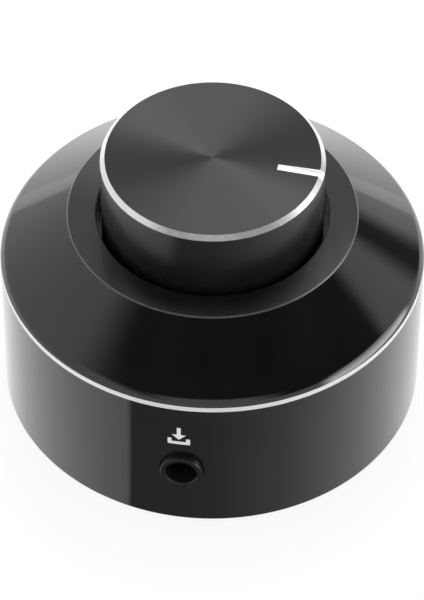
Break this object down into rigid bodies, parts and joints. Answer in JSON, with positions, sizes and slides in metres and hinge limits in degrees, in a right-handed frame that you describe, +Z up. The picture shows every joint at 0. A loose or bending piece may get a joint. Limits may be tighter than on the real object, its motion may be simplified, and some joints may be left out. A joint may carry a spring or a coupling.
{
  "type": "desktop audio volume control",
  "caption": "Round turned-aluminium desktop volume control: a large knob in a well on a conical top, a bright-cut band round the shoulder, and 3.5 mm jacks in the side.",
  "frame": {"origin": "on the surface it stands on, under the knob's axis", "axes": "+Z up along the knob's axis; the input jack faces -Y and the output jack +Y"},
  "size_m": [0.05, 0.0516, 0.0354],
  "materials": {
    "housing_anodised": "glossy black anodised, turned, with a bright-cut band",
    "knob_anodised": "satin black anodised, spun face, bright-cut bevel and pointer",
    "bright_cut": "bare aluminium cut with a diamond tool",
    "legend_ink": "pale grey printed ink",
    "base_paint": "fine texture powder coat",
    "black_steel": "black oxide",
    "board_laminate": "green solder mask",
    "foot_rubber": "matt",
    "spacer_nylon": "natural nylon",
    "brass": "plain",
    "jack_plastic": "moulded black",
    "contact_metal": "tinned bronze",
    "track_laminate": "phenolic board",
    "pot_plastic": "moulded",
    "plated_steel": "zinc plated"
  },
  "bodies": {
    "puck": {"housing": "housing_anodised", "base_plate": "base_paint", "base_screws": "black_steel", "circuit_board": "board_laminate", "foot_1": "foot_rubber", "foot_2": "foot_rubber", "foot_3": "foot_rubber", "foot_4": "foot_rubber", "lower_spacer_1": "spacer_nylon", "lower_spacer_2": "spacer_nylon", "lower_spacer_3": "spacer_nylon", "lower_spacer_4": "spacer_nylon", "upper_standoff_1": "brass", "upper_standoff_2": "brass", "upper_standoff_3": "brass", "upper_standoff_4": "brass", "in_jack_body": "jack_plastic", "in_jack_tip_spring": "contact_metal", "in_jack_ring_spring": "contact_metal", "in_jack_sleeve_spring": "contact_metal", "out_jack_body": "jack_plastic", "out_jack_tip_spring": "contact_metal", "out_jack_ring_spring": "contact_metal", "out_jack_sleeve_spring": "contact_metal", "pot_mounting_plate": "plated_steel", "pot_case": "pot_plastic", "pot_front_track": "track_laminate", "pot_rear_track": "track_laminate", "pot_divider": "pot_plastic", "pot_front_terminals": "contact_metal", "pot_rear_terminals": "contact_metal", "pot_washer": "plated_steel", "pot_nut": "plated_steel"},
    "knob_and_shaft": {"knob": "knob_anodised", "knob_set_screw": "black_steel", "pot_shaft": "plated_steel", "pot_shaft_clip": "plated_steel", "pot_front_rotor": "pot_plastic", "pot_front_wiper": "contact_metal", "pot_rear_rotor": "pot_plastic", "pot_rear_wiper": "contact_metal"}
  },
  "joints": [
    {"name": "knob_turn", "type": "hinge", "parent": "puck", "child": "knob_and_shaft", "pos_m": [0, 0, 0.0206], "axis": [0, 0, 1], "range_deg": [-55, 245]}
  ]
}
